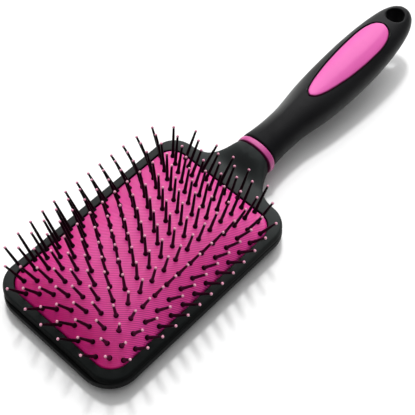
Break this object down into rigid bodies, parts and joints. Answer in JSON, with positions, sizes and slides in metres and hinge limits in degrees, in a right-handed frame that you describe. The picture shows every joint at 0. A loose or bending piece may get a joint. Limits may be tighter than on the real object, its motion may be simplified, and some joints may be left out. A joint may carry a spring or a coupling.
{
  "type": "paddle brush",
  "caption": "Flat paddle hair brush: air-cushioned pad with fanned ball-tip pins in a rectangular head, slim neck with ring, inlaid grip with a hanging hole.",
  "frame": {"origin": "on the flat resting face of the back, under the middle of the cushion", "axes": "+X across the head, +Y from the toe of the head towards the handle, +Z the way the pins point"},
  "size_m": [0.08, 0.2394, 0.0365],
  "materials": {
    "shell_plastic": "matte black moulded plastic",
    "frame_plastic": "matte charcoal moulded plastic",
    "tray_plastic": "natural moulded plastic, hidden inside",
    "ring_gloss": "glossy pink moulded ring",
    "core_plastic": "moulded plastic, hidden inside",
    "soft_touch": "black soft-touch grip",
    "inlay_satin": "satin pink inlay",
    "cushion_rubber": "hot pink rubber with very fine ribs",
    "pin_nylon": "black nylon pins, with pale ball tips in the visual model"
  },
  "bodies": {
    "head": {"back_shell": "shell_plastic", "front_frame": "frame_plastic", "support_tray": "tray_plastic", "neck_ring": "ring_gloss", "handle_core": "core_plastic", "handle_grip": "soft_touch", "handle_inlay": "inlay_satin"},
    "cushion": {"air_cushion": "cushion_rubber"},
    "pin_row_01": {"pin_row_01": "pin_nylon"},
    "pin_row_02": {"pin_row_02": "pin_nylon"},
    "pin_row_03": {"pin_row_03": "pin_nylon"},
    "pin_row_04": {"pin_row_04": "pin_nylon"},
    "pin_row_05": {"pin_row_05": "pin_nylon"},
    "pin_row_06": {"pin_row_06": "pin_nylon"},
    "pin_row_07": {"pin_row_07": "pin_nylon"},
    "pin_row_08": {"pin_row_08": "pin_nylon"},
    "pin_row_09": {"pin_row_09": "pin_nylon"},
    "pin_row_10": {"pin_row_10": "pin_nylon"},
    "pin_row_11": {"pin_row_11": "pin_nylon"},
    "pin_row_12": {"pin_row_12": "pin_nylon"},
    "pin_row_13": {"pin_row_13": "pin_nylon"}
  },
  "joints": [
    {"name": "cushion_press", "type": "slide", "parent": "head", "child": "cushion", "axis": [0, 0, -1], "range_m": [0, 0.0015], "stiffness_N_per_m": 4000},
    {"name": "pin_row_01_lean", "type": "hinge", "parent": "cushion", "child": "pin_row_01", "pos_m": [-0.03008, 0, 0.01185], "axis": [0, 1, 0], "range_deg": [-5, 5], "stiffness_Nm_per_rad": 0.008},
    {"name": "pin_row_02_lean", "type": "hinge", "parent": "cushion", "child": "pin_row_02", "pos_m": [-0.02569, 0, 0.01435], "axis": [0, 1, 0], "range_deg": [-5, 5], "stiffness_Nm_per_rad": 0.008},
    {"name": "pin_row_03_lean", "type": "hinge", "parent": "cushion", "child": "pin_row_03", "pos_m": [-0.02096, 0, 0.01585], "axis": [0, 1, 0], "range_deg": [-5, 5], "stiffness_Nm_per_rad": 0.008},
    {"name": "pin_row_04_lean", "type": "hinge", "parent": "cushion", "child": "pin_row_04", "pos_m": [-0.01596, 0, 0.01738], "axis": [0, 1, 0], "range_deg": [-5, 5], "stiffness_Nm_per_rad": 0.008},
    {"name": "pin_row_05_lean", "type": "hinge", "parent": "cushion", "child": "pin_row_05", "pos_m": [-0.01075, 0, 0.0175], "axis": [0, 1, 0], "range_deg": [-5, 5], "stiffness_Nm_per_rad": 0.008},
    {"name": "pin_row_06_lean", "type": "hinge", "parent": "cushion", "child": "pin_row_06", "pos_m": [-0.00541, 0, 0.01818], "axis": [0, 1, 0], "range_deg": [-5, 5], "stiffness_Nm_per_rad": 0.008},
    {"name": "pin_row_07_lean", "type": "hinge", "parent": "cushion", "child": "pin_row_07", "pos_m": [0, 0, 0.01771], "axis": [0, 1, 0], "range_deg": [-5, 5], "stiffness_Nm_per_rad": 0.008},
    {"name": "pin_row_08_lean", "type": "hinge", "parent": "cushion", "child": "pin_row_08", "pos_m": [0.00541, 0, 0.01818], "axis": [0, 1, 0], "range_deg": [-5, 5], "stiffness_Nm_per_rad": 0.008},
    {"name": "pin_row_09_lean", "type": "hinge", "parent": "cushion", "child": "pin_row_09", "pos_m": [0.01075, 0, 0.0175], "axis": [0, 1, 0], "range_deg": [-5, 5], "stiffness_Nm_per_rad": 0.008},
    {"name": "pin_row_10_lean", "type": "hinge", "parent": "cushion", "child": "pin_row_10", "pos_m": [0.01596, 0, 0.01738], "axis": [0, 1, 0], "range_deg": [-5, 5], "stiffness_Nm_per_rad": 0.008},
    {"name": "pin_row_11_lean", "type": "hinge", "parent": "cushion", "child": "pin_row_11", "pos_m": [0.02096, 0, 0.01585], "axis": [0, 1, 0], "range_deg": [-5, 5], "stiffness_Nm_per_rad": 0.008},
    {"name": "pin_row_12_lean", "type": "hinge", "parent": "cushion", "child": "pin_row_12", "pos_m": [0.02569, 0, 0.01435], "axis": [0, 1, 0], "range_deg": [-5, 5], "stiffness_Nm_per_rad": 0.008},
    {"name": "pin_row_13_lean", "type": "hinge", "parent": "cushion", "child": "pin_row_13", "pos_m": [0.03008, 0, 0.01185], "axis": [0, 1, 0], "range_deg": [-5, 5], "stiffness_Nm_per_rad": 0.008}
  ]
}
